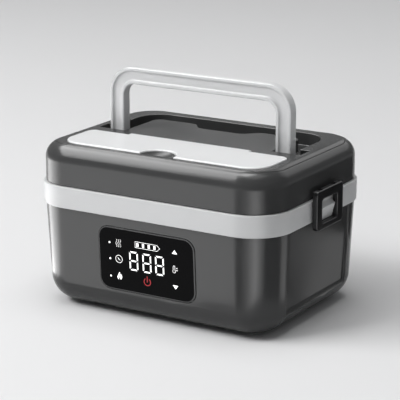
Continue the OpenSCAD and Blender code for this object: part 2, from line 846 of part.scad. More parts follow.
// Right-hand latch: a loop that swings on its upper bar
module latch() {
    zm = latch_z0 + latch_h/2;
    color("#1c1d1f") difference() {
        translate([latch_x0, 0, 0]) rotate([90, 0, 90]) linear_extrude(latch_t) difference() {
            translate([latch_y, zm]) round_rect_c(latch_w, latch_h, 3.4);
            translate([loop_y, loop_z0 + loop_h/2]) round_rect_c(loop_w, loop_h, 2);
        }
        for (s = [0, 1]) mirror([0, s, 0])
            block([latch_x0 - 1, lug_y0 - 0.3, latch_pin_z - lug_r - 0.45],
                  [latch_skin_x, lug_y1 + 0.3, latch_z0 + latch_h + 1]);
        rod_y(-18.4, 18.4, latch_pin_x, latch_pin_z, latch_pin_d + 2*pin_fit);
    }
}

module latch_right() {
    latch();
}

module latch_left() {
    mirror([1, 0, 0]) latch();
}

// ---------- lift-out food container ----------

module food_container() {
    color("#c6c8cb") difference() {
        union() {
            rounded_plan(cx, cy, [box_z0, box_z1])
                translate([0, box_z0]) square([box_r, box_z1 - box_z0]);
            rounded_plan(cx, cy, [0, 0])
                translate([box_r - 0.1, box_z1 - container_wall]) square([5, container_wall]);
        }
        rounded_plan(cx, cy, [box_z0 + container_wall, box_z1 + 2])
            translate([0, box_z0 + container_wall])
                square([box_r - container_wall, box_z1 - box_z0 + 2]);
    }
}

module container_lid() {
    z = box_z1 + 0.4;
    in_r = box_r - container_wall - 0.9;
    color("#e4e6e8") difference() {
        union() {
            rounded_plan(cx, cy, [z, z + 2]) translate([0, z]) square([box_r + 5.6, 2]);
            rounded_plan(cx, cy, [0, 0]) translate([in_r - 1.2, z - 5]) square([1.2, 5.1]);
        }
        translate([0, 20, z - 1]) cylinder(h = 5, d = 8);
    }
}

module container_seal() {
    in_r = box_r - container_wall - 0.9;
    color("#cfd4d8") rounded_plan(cx, cy, [0, 0])
        translate([in_r + 0.02, box_z1 - 3]) square([0.55, 2]);
}

module vent_plug() {
    z = box_z1 + 0.4;
    color("#cfd4d8") translate([0, 20, 0]) {
        translate([0, 0, z - 1.4]) cylinder(h = 1.35, d1 = 8, d2 = 9.4);
        translate([0, 0, z - 0.06]) cylinder(h = 2.1, d = 7.9);
        translate([0, 0, z + 2.02]) cylinder(h = 0.9, d = 12);
    }
}

lower_body();
bottom_cover();
feet();
bottom_screws();
band();
display_window();
led_module();
display_board();
display_ribbon();
heating_pan();
ptc_heater();
heater_bracket();
insulation_pad();
thermal_fuse();
temp_sensor();
battery_cells();
cell_holder_front();
cell_holder_rear();
cell_strips();
power_board();
board_screws();
heater_lead();
battery_lead();
dc_socket();
socket_lead();
lid_shell();
lid_deck();
lid_inner_cover();
lid_gasket();
lid_screws();
handle_pins();
flap_pins();
latch_pins();
handle();
cutlery_flap();
latch_left();
latch_right();
food_container();
container_lid();
container_seal();
vent_plug();
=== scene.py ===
"""Looks of the electric lunch box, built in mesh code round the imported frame.

Shapes are worked out in millimetres and scaled to metres when a piece is made.
"""
import math

import bmesh
import bpy
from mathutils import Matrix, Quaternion, Vector


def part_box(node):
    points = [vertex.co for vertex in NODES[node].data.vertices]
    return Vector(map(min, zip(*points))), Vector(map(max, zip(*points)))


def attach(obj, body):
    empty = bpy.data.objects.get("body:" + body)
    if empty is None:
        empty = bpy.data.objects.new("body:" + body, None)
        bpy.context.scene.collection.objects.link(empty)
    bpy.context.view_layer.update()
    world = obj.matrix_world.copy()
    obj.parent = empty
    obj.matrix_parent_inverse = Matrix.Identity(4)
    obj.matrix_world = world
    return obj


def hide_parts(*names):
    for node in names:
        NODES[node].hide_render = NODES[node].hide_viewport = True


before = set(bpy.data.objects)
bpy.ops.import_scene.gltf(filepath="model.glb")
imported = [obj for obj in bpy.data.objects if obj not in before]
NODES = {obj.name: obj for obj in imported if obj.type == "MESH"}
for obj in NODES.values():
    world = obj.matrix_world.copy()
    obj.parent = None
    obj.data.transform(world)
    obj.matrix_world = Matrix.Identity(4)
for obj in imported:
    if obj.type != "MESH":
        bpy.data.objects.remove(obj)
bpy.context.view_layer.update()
MM = 0.001


def mm_box(node):
    """Lowest and highest corner of a CAD node, in millimetres."""
    low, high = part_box(node)
    return Vector(low) / MM, Vector(high) / MM


# ---------------------------------------------------------------- sizes, in mm
LID_TOP = mm_box("lid_shell")[1].z
HANDLE_HIGH = mm_box("handle")[1]
FLAP_LOW, FLAP_HIGH = mm_box("cutlery_flap")
BAND_LOW, BAND_HIGH = mm_box("band")
LATCH_LOW, LATCH_HIGH = mm_box("latch_right")
BODY_LOW, BODY_HIGH = mm_box("lower_body")

CORNER_R = 35.0                     # plan radius of the band
CX = 80.0                           # centres of the plan corners
CY = BAND_HIGH.y - CORNER_R
CORNER_STEPS = 16                   # segments round one plan corner
HAIR = 0.01                         # step that keeps two rings apart

FILLET = 21.8                       # lower edge of the body
FILLET_Z = BODY_LOW.z + FILLET
BAND_Z0 = 86.8
WALL_LOW = 30.0                     # wall, outwards from the corner centres
WALL_TOP = 33.3
DRAFT = math.atan((WALL_TOP - WALL_LOW) / (BAND_Z0 - FILLET_Z))
FILLET_D = WALL_LOW - FILLET / math.cos(DRAFT)
WALL_T = 2.6
RIM_Z = BODY_HIGH.z
RIM_OUT, RIM_IN = 31.5, 29.4        # ring that reaches up inside the band
BAND_SEAT = BAND_Z0 + 0.1
BAND_IN = 26.5                      # inner edge of the band's sealing face
BAND_LIP = 2.0                      # thickness of that face
COVER_D = 9.0                       # mouth of the bottom cover

PANEL_DEPTH = 1.8
PANEL_BEVEL = 2.6                   # width of the panel's side bevels
PANEL_Z = 21.5                      # the panel's lower bevel starts here and runs down
PANEL_SLOPE = 0.25                  # of the lower bevel, outwards for each mm down
PANEL_ROWS = (16.2, 16.6, 17, 17.4, 17.8, 18.6, 19.6, 20.6, 21.1, 21.4, 21.7, 22.1)

LID_R = 33.0
LID_Z0 = 105.3
LID_FILLET = 13.4
LID_FLAT = LID_R - LID_FILLET       # flat top, outwards from the corner centres
LID_FZ = LID_TOP - LID_FILLET
LID_WALL = 2.4
LEDGE_Z = 125.9                     # the deck stands on this ledge of the lid
LEDGE_IN, LEDGE_T = 20, 2.3
DECK_X, DECK_Y, DECK_R = 105.8, 72.5, 24.0
DECK_GAP = 0.35

GROOVE_Z = LID_TOP - 10.8
GROOVE = [(-97, -6.5, 1.2), (-71, -6.5, 1.2), (-71, 44.4, 8), (-31, 44.4, 7), (-22, 32.5, 7),
          (22, 32.5, 14), (31, 44.4, 12), (71, 44.4, 8), (71, -6.5, 1.2), (97, -6.5, 1.2),
          (97, 9, 1.2), (88.2, 9, 1.2), (88.2, 63, 23.3), (-88.2, 63, 23.3),
          (-88.2, 9, 1.2), (-97, 9, 1.2)]
RECESS_Z = FLAP_LOW.z - 0.3
BARREL_R = 2.3
BARREL_Y = -17.2
BARREL_Z = FLAP_HIGH.z - BARREL_R
BARREL_X = 57.5
SLOT_X, SLOT_Y, SLOT_Z = 57.9, -14.5, 133.5
TROUGH_Z = LID_TOP - 18
NOTCH_Y, NOTCH_R = -67.5, 15.5
FLAP_T = 3.2
ISLAND_R = NOTCH_R - 0.5            # island with the finger dish, inside the notch
DISH_R, DISH_DEPTH = ISLAND_R - 0.5, 3.0
SCOOP_R = NOTCH_R + 2
TROUGH = [(-85, -61, 2), (-SCOOP_R, -61, 2), (-SCOOP_R, NOTCH_Y + SCOOP_R, SCOOP_R - 7),
          (SCOOP_R, NOTCH_Y + SCOOP_R, SCOOP_R - 7), (SCOOP_R, -61, 2), (85, -61, 2),
          (85, -25, 2), (-85, -25, 2)]
RECESS = [(-96, -68, 18.5), (-ISLAND_R, -68, 0.3), (-ISLAND_R, NOTCH_Y + ISLAND_R, ISLAND_R - 0.4),
          (ISLAND_R, NOTCH_Y + ISLAND_R, ISLAND_R - 0.4), (ISLAND_R, -68, 0.3), (96, -68, 18.5),
          (96, -19.3, 7.5), (SLOT_X, -19.3, 0.3), (SLOT_X, SLOT_Y, 0.3), (-SLOT_X, SLOT_Y, 0.3),
          (-SLOT_X, -19.3, 0.3), (-96, -19.3, 7.5)]
FLAP = [(-95.5, NOTCH_Y, 18), (-NOTCH_R, NOTCH_Y, 0.8), (-NOTCH_R, NOTCH_Y + NOTCH_R, NOTCH_R - 0.8),
        (NOTCH_R, NOTCH_Y + NOTCH_R, NOTCH_R - 0.8), (NOTCH_R, NOTCH_Y, 0.8), (95.5, NOTCH_Y, 18),
        (95.5, -19.8, 7), (-95.5, -19.8, 7)]

WINDOW_W, WINDOW_H, WINDOW_R = 91.0, 53.4, 9.5
WINDOW_Z = 51.3
WINDOW_OUT = 0.5                    # how far the window's face stands proud
WINDOW_GAP = 0.35                   # round the frame, in its pocket
MARK_BACK, MARK_FRONT = WINDOW_OUT - 0.05, WINDOW_OUT + 0.06
GLASS_W, GLASS_H, GLASS_R = 89.2, 51.6, 8.7
GLASS_U = -0.4                      # the glass sits a little left in its frame

HANDLE_X = 86.95                    # half width over the legs, without the nubs
HANDLE_BAR = 14.0
HANDLE_T = 9.5
HANDLE_R = 22.0
HANDLE_INNER_R = 10.0
CHANNEL_FOOT = 2.1                  # the front channel starts this far above the pivot
CHANNEL_RAMP = 0.7                  # and has its full depth after this much more
RIB_EDGE = 2.0                      # section points further in than this form the channel
KNOB_Y, KNOB_Z = 2, 15              # middle of a detent nub, from the pivot
PIVOT_Y, PIVOT_Z = 0.5, LID_TOP - 5.5
LATCH_PIN = (118.2, 109.4)          # x and z of the latch pin
LOOP = (26.4, 19.8, 85.4)           # width, height and lower edge of the opening
LOOP_Y = 0.8                        # middle of the opening
LUG_Y = (9.0, 14.0)                 # the lid's lugs, on both sides of the middle
LATCH_SKIN_X = 120.05               # the slots for the lugs end behind this skin
LATCH_SLOT_Z = 107.25
CATCH_LOW_X = 116.0                 # the catch leans in towards its lower edge
CATCH_HALF = 12.5
CATCH_NOSE_Z, CATCH_TOP_Z = 97, 100.6
LATCH_R, LOOP_R = 3.4, 2.2          # corners of the latch and of its opening
LUG_GAP = 0.3                       # on each side of a lug in its slot
LUG_R = 1.7


# ---------------------------------------------------------------- mesh helpers
def wall_d(z):
    """How far the body's wall stands outwards from the corner centres at z."""
    return WALL_LOW + (z - FILLET_Z) * math.tan(DRAFT)


def corner_angles():
    """(sign x, sign y, angle) round the plan, from the front right corner on."""
    signs = [(1, -1), (1, 1), (-1, 1), (-1, -1)]
    for k, (sx, sy) in enumerate(signs):
        for i in range(CORNER_STEPS + 1):
            yield sx, sy, math.radians(90 * (k - 1 + i / CORNER_STEPS))


def ring(d, z):
    """Plan ring at distance d outwards from the corner centres."""
    return [(sx * CX + d * math.cos(a), sy * CY + d * math.sin(a), z)
            for sx, sy, a in corner_angles()]


def rect_ring(hx, hy, r, z):
    """Plan ring of a rounded rectangle with half sizes hx and hy."""
    return [(sx * (hx - r) + r * math.cos(a), sy * (hy - r) + r * math.sin(a), z)
            for sx, sy, a in corner_angles()]


def round_poly(corners, t=0.0, n=6):
    """Outline through corners (x, y, radius), anticlockwise, moved outwards by t."""
    points = []
    for i, (x, y, r) in enumerate(corners):
        before = Vector(corners[i - 1][:2])
        after = Vector(corners[(i + 1) % len(corners)][:2])
        u = (Vector((x, y)) - before).normalized()
        v = (after - Vector((x, y))).normalized()
        turn = math.atan2(u.x * v.y - u.y * v.x, u.dot(v))
        side = math.copysign(1, turn)
        nu, nv = Vector((u.y, -u.x)), Vector((v.y, -v.x))
        mitre = (nu + nv).normalized() / math.cos(turn / 2)
        radius = max(r + side * t, 0.04)
        centre = Vector((x, y)) + mitre * (t - side * radius)
        start = math.atan2(side * nu.y, side * nu.x)
        for k in range(n + 1):
            a = start + turn * k / n
            points.append(centre + radius * Vector((math.cos(a), math.sin(a))))
    return points


def full_turn(n):
    """n angles round a circle."""
    return [math.tau * k / n for k in range(n)]


def at_z(points, z):
    """Plan points laid at height z."""
    return [(p[0], p[1], z) for p in points]


def arc(r, a0, a1, n):
    """n + 1 points of an arc about the origin, angles in degrees."""
    angles = [math.radians(a0 + (a1 - a0) * k / n) for k in range(n + 1)]
    return [(r * math.cos(a), r * math.sin(a)) for a in angles]


def loft(bm, rings, closed=False, skip=lambda row, col: False):
    """Quads between rings of equal length; returns the rows of vertices."""
    rows = [[bm.verts.new(p) for p in r] for r in rings]
    last = len(rows) if closed else len(rows) - 1
    for i in range(last):
        low, high = rows[i], rows[(i + 1) % len(rows)]
        for j in range(len(low)):
            k = (j + 1) % len(low)
            if not skip(i, j):
                bm.faces.new((low[j], low[k], high[k], high[j]))
    return rows


def fill(bm, loops, normal=(0, 0, 1)):
    """Flat face with holes: the first loop is the outside."""
    edges = []
    for loop in loops:
        for a, b in zip(loop, loop[1:] + loop[:1]):
            edges.append(bm.edges.get((a, b)) or bm.edges.new((a, b)))
    bmesh.ops.triangle_fill(bm, use_beauty=True, edges=edges, normal=normal)


def cap(bm, loop):
    """Closes a loop with one face."""
    bm.faces.new(loop)


def plate_rings(outline, z0, z1, low, high, steps=4):
    """Rings of a plate from z0 to z1 whose edges are rounded by (inset, height)."""
    rings = []
    for c, s in arc(1, -90, 0, steps):
        rings.append(at_z(outline(low[0] * (c - 1)), z0 + low[1] * (1 + s)))
    for c, s in arc(1, 0, 90, steps):
        rings.append(at_z(outline(high[0] * (c - 1)), z1 - high[1] * (1 - s)))
    return rings


def well_rings(outline, z_top, z_floor, rim, root, steps=3):
    """Rings down a well: rounded rim, wall and rounded root."""
    rings = [at_z(outline(rim * (1 - c)), z_top - rim * (1 - s)) for c, s in arc(1, 90, 0, steps)]
    rings += [at_z(outline(-root * (1 - c)), z_floor + root * (1 - s)) for c, s in arc(1, 0, 90, steps)]
    return rings


def prism(bm, outline, x0, x1, place, edge=0.3):
    """Bar with a rounded-edge outline(t), from x0 to x1 along place's third value."""
    rings = []
    for x, t in [(x0, -edge), (x0 + 0.3 * edge, -0.3 * edge), (x0 + edge, 0),
                 (x1 - edge, 0), (x1 - 0.3 * edge, -0.3 * edge), (x1, -edge)]:
        rings.append([place(p[0], p[1], x) for p in outline(t)])
    rows = loft(bm, rings)
    cap(bm, rows[0])
    cap(bm, rows[-1])


def make_piece(name, bm, body, material, replaces=(), sharp=40):
    """Turns a bmesh in millimetres into a piece that rides on a body."""
    bmesh.ops.remove_doubles(bm, verts=bm.verts, dist=0.004)
    bmesh.ops.dissolve_degenerate(bm, dist=0.002, edges=bm.edges)
    bmesh.ops.recalc_face_normals(bm, faces=bm.faces)
    for v in bm.verts:
        v.co *= MM
    mesh = bpy.data.meshes.new(name)
    bm.to_mesh(mesh)
    bm.free()
    mesh.polygons.foreach_set("use_smooth", [True] * len(mesh.polygons))
    mesh.set_sharp_from_angle(angle=math.radians(sharp))
    mesh.materials.append(material)
    piece = bpy.data.objects.new(name, mesh)
    bpy.context.scene.collection.objects.link(piece)
    weighted = piece.modifiers.new("even_shading", "WEIGHTED_NORMAL")
    weighted.keep_sharp = True
    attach(piece, body)
    if replaces:
        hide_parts(*replaces)


# ---------------------------------------------------------------- materials
def base_material(name, rough, metallic=0.0, specular=0.5):
    """New material and its shader; uniform values sit on the shader's sockets."""
    made = bpy.data.materials.new(name)
    made.use_nodes = True
    shader = made.node_tree.nodes["Principled BSDF"]
    shader.inputs["Roughness"].default_value = rough
    shader.inputs["Metallic"].default_value = metallic
    shader.inputs["Specular IOR Level"].default_value = specular
    return made, made.node_tree, shader


def coordinates(tree, stretch=(1, 1, 1)):
    """Object coordinates, stretched along the axes."""
    source = tree.nodes.new("ShaderNodeTexCoord")
    mapping = tree.nodes.new("ShaderNodeMapping")
    mapping.inputs["Scale"].default_value = stretch
    tree.links.new(source.outputs["Object"], mapping.inputs["Vector"])
    return mapping.outputs["Vector"]


def noise(tree, vector, size, detail=2.0):
    """Noise whose features are about size metres across."""
    node = tree.nodes.new("ShaderNodeTexNoise")
    node.inputs["Scale"].default_value = 1 / size
    node.inputs["Detail"].default_value = detail
    tree.links.new(vector, node.inputs["Vector"])
    return node.outputs["Fac"]


def spread(tree, value, low, high):
    """Maps the middle of a 0 to 1 pattern onto low to high."""
    node = tree.nodes.new("ShaderNodeMapRange")
    node.inputs["From Min"].default_value = 0.3
    node.inputs["From Max"].default_value = 0.7
    node.inputs["To Min"].default_value = low
    node.inputs["To Max"].default_value = high
    tree.links.new(value, node.inputs["Value"])
    return node.outputs["Result"]


def two_colours(tree, factor, first, second):
    """Colour that runs from first to second with factor."""
    node = tree.nodes.new("ShaderNodeMix")
    node.data_type = "RGBA"
    tree.links.new(factor, node.inputs["Factor"])
    node.inputs["A"].default_value = (*first, 1)
    node.inputs["B"].default_value = (*second, 1)
    return node.outputs["Result"]


def shade(colour, amount):
    """The colour, lighter or darker by a factor."""
    return tuple(min(max(c * amount, 0), 1) for c in colour)


def bump(tree, shader, height, distance):
    """Raises the surface by height, up to distance metres."""
    node = tree.nodes.new("ShaderNodeBump")
    node.inputs["Strength"].default_value = 1.0
    node.inputs["Distance"].default_value = distance
    tree.links.new(height, node.inputs["Height"])
    tree.links.new(node.outputs["Normal"], shader.inputs["Normal"])


def plastic(name, colour, rough, specular=0.5, grain=0.0006, depth=0.000008, vary=0.05):
    """Moulded plastic: fine grain, slight waviness of gloss and faint mottling."""
    made, tree, shader = base_material(name, rough, specular=specular)
    place = coordinates(tree)
    cloud = noise(tree, place, 0.035, 3.0)
    fine = noise(tree, place, grain, 2.0)
    colours = two_colours(tree, cloud, shade(colour, 1 - vary), shade(colour, 1 + vary))
    tree.links.new(colours, shader.inputs["Base Color"])
    tree.links.new(spread(tree, cloud, rough - 0.03, rough + 0.03), shader.inputs["Roughness"])
    bump(tree, shader, fine, depth)
    return made


def metal(name, colour, rough, stretch=(1, 1, 1), line=0.0008, depth=0.000012):
    """Metal with a directional brushed finish where it is stretched."""
    made, tree, shader = base_material(name, rough, metallic=1.0)
    lines = noise(tree, coordinates(tree, stretch), line, 4.0)
    cloud = noise(tree, coordinates(tree), 0.02, 3.0)
    colours = two_colours(tree, cloud, shade(colour, 0.93), shade(colour, 1.05))
    tree.links.new(colours, shader.inputs["Base Color"])
    tree.links.new(spread(tree, lines, rough - 0.07, rough + 0.1), shader.inputs["Roughness"])
    bump(tree, shader, lines, depth)
    return made


def glowing(name, colour, strength):
    """Lit symbol behind the display, its glow a little uneven across the window."""
    made, tree, shader = base_material(name, 0.4, specular=0.2)
    shader.inputs["Base Color"].default_value = (*colour, 1)
    patch = noise(tree, coordinates(tree), 0.006, 1.0)
    colours = two_colours(tree, patch, shade(colour, 0.88), shade(colour, 1.0))
    tree.links.new(colours, shader.inputs["Emission Color"])
    shader.inputs["Emission Strength"].default_value = strength
    return made


def circuit_board(name):
    """Green solder mask over copper tracks, with fibre weave showing through."""
    made, tree, shader = base_material(name, 0.35)
    bricks = tree.nodes.new("ShaderNodeTexBrick")
    bricks.inputs["Scale"].default_value = 120
    bricks.inputs["Mortar Size"].default_value = 0.06
    bricks.inputs["Color1"].default_value = (0.012, 0.13, 0.05, 1)
    bricks.inputs["Color2"].default_value = (0.016, 0.16, 0.06, 1)
    bricks.inputs["Mortar"].default_value = (0.05, 0.28, 0.12, 1)
    tree.links.new(coordinates(tree), bricks.inputs["Vector"])
    tree.links.new(bricks.outputs["Color"], shader.inputs["Base Color"])
    bump(tree, shader, bricks.outputs["Fac"], 0.00003)
    return made


def felt(name, colour):
    """Pressed mineral felt: tangled fibres and soft sheen."""
    made, tree, shader = base_material(name, 0.9, specular=0.2)
    fibres = noise(tree, coordinates(tree, (1, 3, 1)), 0.0012, 6.0)
    colours = two_colours(tree, fibres, shade(colour, 0.8), shade(colour, 1.1))
    tree.links.new(colours, shader.inputs["Base Color"])
    shader.inputs["Sheen Weight"].default_value = 0.3
    bump(tree, shader, fibres, 0.0003)
    return made


GREY = (0.052, 0.0525, 0.053)
body_grey = plastic("body_grey", GREY, 0.18, specular=0.2)
lid_grey = plastic("lid_grey", GREY, 0.22, specular=0.2)
deck_grey = plastic("deck_grey", GREY, 0.24, specular=0.2)
frame_grey = plastic("frame_grey", GREY, 0.3, specular=0.2)
band_white = plastic("band_white", (0.58, 0.585, 0.59), 0.42, specular=0.3, vary=0.015)
handle_pale = plastic("handle_pale", (0.63, 0.635, 0.64), 0.32, specular=0.45, vary=0.015)
flap_white = plastic("flap_white", (0.80, 0.805, 0.81), 0.16, specular=0.15, vary=0.006, depth=0.000002)
latch_black = plastic("latch_black", (0.012, 0.012, 0.013), 0.3, specular=0.35)
window_black = plastic("window_black", (0.0028, 0.0028, 0.0032), 0.12, specular=0.015, depth=0.0)
mark_white = glowing("mark_white", (1.0, 1.0, 1.0), 1.0)
mark_red = glowing("mark_red", (0.24, 0.012, 0.016), 1.0)
cover_black = plastic("cover_black", (0.03, 0.03, 0.032), 0.6, grain=0.0012, depth=0.00005)
rubber_black = plastic("rubber_black", (0.012, 0.012, 0.013), 0.8, specular=0.3, depth=0.00003)
socket_black = plastic("socket_black", (0.012, 0.012, 0.013), 0.4)
inner_pale = plastic("inner_pale", (0.6, 0.605, 0.61), 0.5)
cap_pale = plastic("cap_pale", (0.68, 0.69, 0.7), 0.3)
silicone = plastic("silicone", (0.7, 0.69, 0.65), 0.6, specular=0.35, depth=0.00002)
ribbon_beige = plastic("ribbon_beige", (0.55, 0.5, 0.4), 0.5)
wire_red = plastic("wire_red", (0.4, 0.02, 0.015), 0.5)
wire_black = plastic("wire_black", (0.01, 0.01, 0.011), 0.5)
cell_wrap = plastic("cell_wrap", (0.02, 0.15, 0.2), 0.28)
ceramic = plastic("ceramic", (0.7, 0.66, 0.56), 0.7, grain=0.0003, depth=0.00004)
steel_bright = metal("steel_bright", (0.6, 0.6, 0.61), 0.3, line=0.0004)
steel_brushed = metal("steel_brushed", (0.62, 0.62, 0.63), 0.28, stretch=(1, 1, 24))
alu_satin = metal("alu_satin", (0.58, 0.585, 0.6), 0.4, stretch=(20, 1, 1))
board_green = circuit_board("board_green")
pad_felt = felt("pad_felt", (0.5, 0.46, 0.38))


# ---------------------------------------------------------------- lower body
def smooth_low(a, b, k=0.35):
    """The lower of a and b, with a rounded crease of size k."""
    h = max(k - abs(a - b), 0) / k
    return min(a, b) - h * h * k / 4


def panel_x(y, z):
    """x of the right-hand wall, with the flat panel sunk into it."""
    if z < FILLET_Z:
        drop = FILLET_Z - z
        wall = CX + FILLET_D + math.sqrt(max(FILLET ** 2 - drop ** 2, 0))
    else:
        wall = CX + wall_d(z)
    low, top = CX + wall_d(PANEL_Z), CX + WALL_TOP
    slope = (top - low) / (BAND_Z0 + 1 - PANEL_Z)
    floor = low - PANEL_DEPTH + (z - PANEL_Z) * slope
    ramp = low - PANEL_DEPTH + (PANEL_Z - z) * PANEL_SLOPE
    side = low - PANEL_DEPTH - 1 + (abs(y) - CY + PANEL_BEVEL) * (PANEL_DEPTH + 2.5) / PANEL_BEVEL
    cut = -smooth_low(-max(floor, ramp), -side)
    return smooth_low(wall, cut)


def side_columns():
    """Places along y of the extra columns on the short sides, front to back."""
    steps = [0.15, 0.35, 0.6, 0.9, 1.2, 1.5, 1.8, 2.1, 2.4, 2.8, 3.4, 4.5]
    front = [s - CY for s in steps]
    return front + [-24, 0, 24] + [-y for y in reversed(front)]


def body_ring(d, z, panel=False):
    """Plan ring with extra columns on the short sides."""
    base = ring(d, z)
    half = len(base) // 4
    right = [(panel_x(y, z) if panel else CX + d, y, z) for y in side_columns()]
    left = [(-x, y, z) for x, y, z in reversed(right)]
    return base[:half] + right + base[half:3 * half] + left + base[3 * half:]


def window_point(u, v, out):
    """Point on the sloping front: u to the right, v up, out towards the front."""
    y = -(CY + wall_d(WINDOW_Z))
    return Vector((u, y - out * math.cos(DRAFT) - v * math.sin(DRAFT),
                   WINDOW_Z - out * math.sin(DRAFT) + v * math.cos(DRAFT)))


def rounded_box(w, h, r):
    """Corners of a centred rectangle for round_poly."""
    return [(-w / 2, -h / 2, r), (w / 2, -h / 2, r), (w / 2, h / 2, r), (-w / 2, h / 2, r)]


def make_lower_body():
    """Shell of the base, with a sunk panel in each short side and the window's pocket."""
    bm = bmesh.new()
    rings = [body_ring(COVER_D, BODY_LOW.z + HAIR)]
    for c, s in arc(FILLET, -90, -22, 20):
        rings.append(body_ring(FILLET_D + c, FILLET_Z + s))
    fillet_end = FILLET_Z - FILLET * math.sin(DRAFT)
    for z in (*PANEL_ROWS, fillet_end):
        d = FILLET_D + math.sqrt(FILLET ** 2 - (FILLET_Z - z) ** 2)
        rings.append(body_ring(d, z, panel=True))
    first_flat = len(rings) - 1
    for z in (25, 40, 55, 70, BAND_Z0):
        rings.append(body_ring(wall_d(z), z, panel=True))
    last_flat = len(rings) - 1
    rings.append(body_ring(RIM_OUT, BAND_Z0 + HAIR))
    rings.append(body_ring(RIM_OUT, RIM_Z - 0.3))
    rings.append(body_ring(RIM_OUT - 0.3, RIM_Z))
    rings.append(body_ring(RIM_IN, RIM_Z))
    for z in (80, 40, FILLET_Z):
        rings.append(body_ring(RIM_IN - WALL_TOP + wall_d(z), z))
    for c, s in arc(FILLET - WALL_T, -10, -90, 8):
        rings.append(body_ring(FILLET_D + c, FILLET_Z + s))
    rings.append(body_ring(COVER_D, BODY_LOW.z + WALL_T))
    columns = len(rings[0])

    def is_front(row, col):
        return col == columns - 1 and first_flat <= row < last_flat

    rows = loft(bm, rings, closed=True, skip=is_front)
    flat = rows[first_flat:last_flat + 1]
    edge = [row[0] for row in flat] + [row[-1] for row in reversed(flat)]

    def hole(t):
        return round_poly(rounded_box(WINDOW_W + 2 * WINDOW_GAP, WINDOW_H + 2 * WINDOW_GAP,
                                      WINDOW_R + WINDOW_GAP), t, 10)

    wells = []
    for t, depth in [(0.45, 0), (0.18, 0.1), (0.03, 0.3), (0, 0.6), (0, 2)]:
        wells.append([window_point(p.x, p.y, -depth) for p in hole(t)])
    pocket = loft(bm, wells)
    fill(bm, [edge, pocket[0]], normal=(0, -1, 0))
    cap(bm, pocket[-1])
    make_piece("lower_body_shell", bm, "base", body_grey, ["lower_body"], sharp=50)


def make_socket_collar():
    """Round boss on the rear wall round the charging inlet."""
    low, high = mm_box("dc_socket")
    x, z = (low.x + high.x) / 2, (low.z + high.z) / 2
    wall = CY + wall_d(z)
    bm = bmesh.new()
    stations = [(11.8, -1.5), (11.8, 1), (12.4, 1.02), (16.4, 1.02), (17, 0.7), (17.2, 0), (17.6, -1.5)]
    rings = []
    for d, out in stations:
        rings.append([(x + d / 2 * math.cos(a), wall + out, z + d / 2 * math.sin(a))
                      for a in full_turn(48)])
    loft(bm, rings, closed=True)
    make_piece("socket_collar", bm, "base", body_grey)


# ---------------------------------------------------------------- display
def make_window():
    """Grey frame that stands proud of the wall, with the black glass let into it."""
    def plate(bm, w, h, r, u, face, edge):
        def outline(t):
            return round_poly(rounded_box(w, h, r), t, 12)

        rings = [[window_point(u + p.x, p.y, -1.6) for p in outline(0)]]
        for c, s in arc(edge, 0, 90, 5):
            rings.append([window_point(u + p.x, p.y, face - edge + s) for p in outline(c - edge)])
        rows = loft(bm, rings)
        cap(bm, rows[0])
        cap(bm, rows[-1])

    bm = bmesh.new()
    plate(bm, WINDOW_W, WINDOW_H, WINDOW_R, 0, WINDOW_OUT - 0.12, 0.3)
    make_piece("display_frame", bm, "base", frame_grey)
    bm = bmesh.new()
    plate(bm, GLASS_W, GLASS_H, GLASS_R, GLASS_U, WINDOW_OUT, 0.1)
    make_piece("display_glass", bm, "base", window_black, ["display_window"])


def mark(bm, points):
    """Thin raised symbol from an outline of (u, v)."""
    back = [window_point(u, v, MARK_BACK) for u, v in points]
    front = [window_point(u, v, MARK_FRONT) for u, v in points]
    rows = loft(bm, [back, front])
    fill(bm, [rows[0]], normal=(0, 1, 0))
    fill(bm, [rows[1]], normal=(0, -1, 0))


def stroke(bm, points, width, closed=False):
    """Line of constant width along points."""
    points = [Vector(p) for p in points]
    left, right = [], []
    count = len(points)
    for i, p in enumerate(points):
        before = points[i - 1] if (i > 0 or closed) else p
        after = points[(i + 1) % count] if (i < count - 1 or closed) else p
        u = (p - before).normalized() if p != before else (after - p).normalized()
        v = (after - p).normalized() if p != after else u
        n = Vector((-u.y - v.y, u.x + v.x)).normalized()
        reach = width / 2 / max(n.dot(Vector((-u.y, u.x))), 0.4)
        left.append(p + n * reach)
        right.append(p - n * reach)
    if not closed:
        mark(bm, left + right[::-1])
        return
    rings = []
    for line, out in [(left, MARK_BACK), (left, MARK_FRONT), (right, MARK_FRONT), (right, MARK_BACK)]:
        rings.append([window_point(p.x, p.y, out) for p in line])
    loft(bm, rings, closed=True)


def circle(u, v, r, n=20, a0=0, a1=360):
    """Points round (u, v)."""
    last = n if a1 - a0 < 360 else n - 1
    angles = [math.radians(a0 + (a1 - a0) * k / n) for k in range(last + 1)]
    return [(u + r * math.cos(a), v + r * math.sin(a)) for a in angles]


def segment(bm, u, v, turn, outer, inner, width):
    """Bar of a digit, centred on (u, v); its outer edge faces the angle turn."""
    a = math.radians(turn)
    across, out = Vector((math.sin(a), -math.cos(a))), Vector((math.cos(a), math.sin(a)))
    half = width / 2
    shape = [(-outer / 2, half), (-inner / 2, -half), (inner / 2, -half), (outer / 2, half)]
    mark(bm, [Vector((u, v)) + across * p + out * q for p, q in shape])


def digit(bm, u, v):
    """The figure 8 in seven bars, centred on (u, v)."""
    wide, tall, line = 7.0, 15.0, 1.22
    for turn, way in ((90, 1), (-90, -1)):
        segment(bm, u, v + way * tall / 2, turn, 6.3, 4.4, line)
    for turn, way in ((0, 1), (180, -1)):
        for k in (-1, 1):
            segment(bm, u + way * wide / 2, v + k * tall / 4, turn, 6.5, 4.9, line)
    middle = [(-2.7, 0), (-2.1, -0.6), (2.1, -0.6), (2.7, 0), (2.1, 0.6), (-2.1, 0.6)]
    mark(bm, [(u + a, v + b) for a, b in middle])


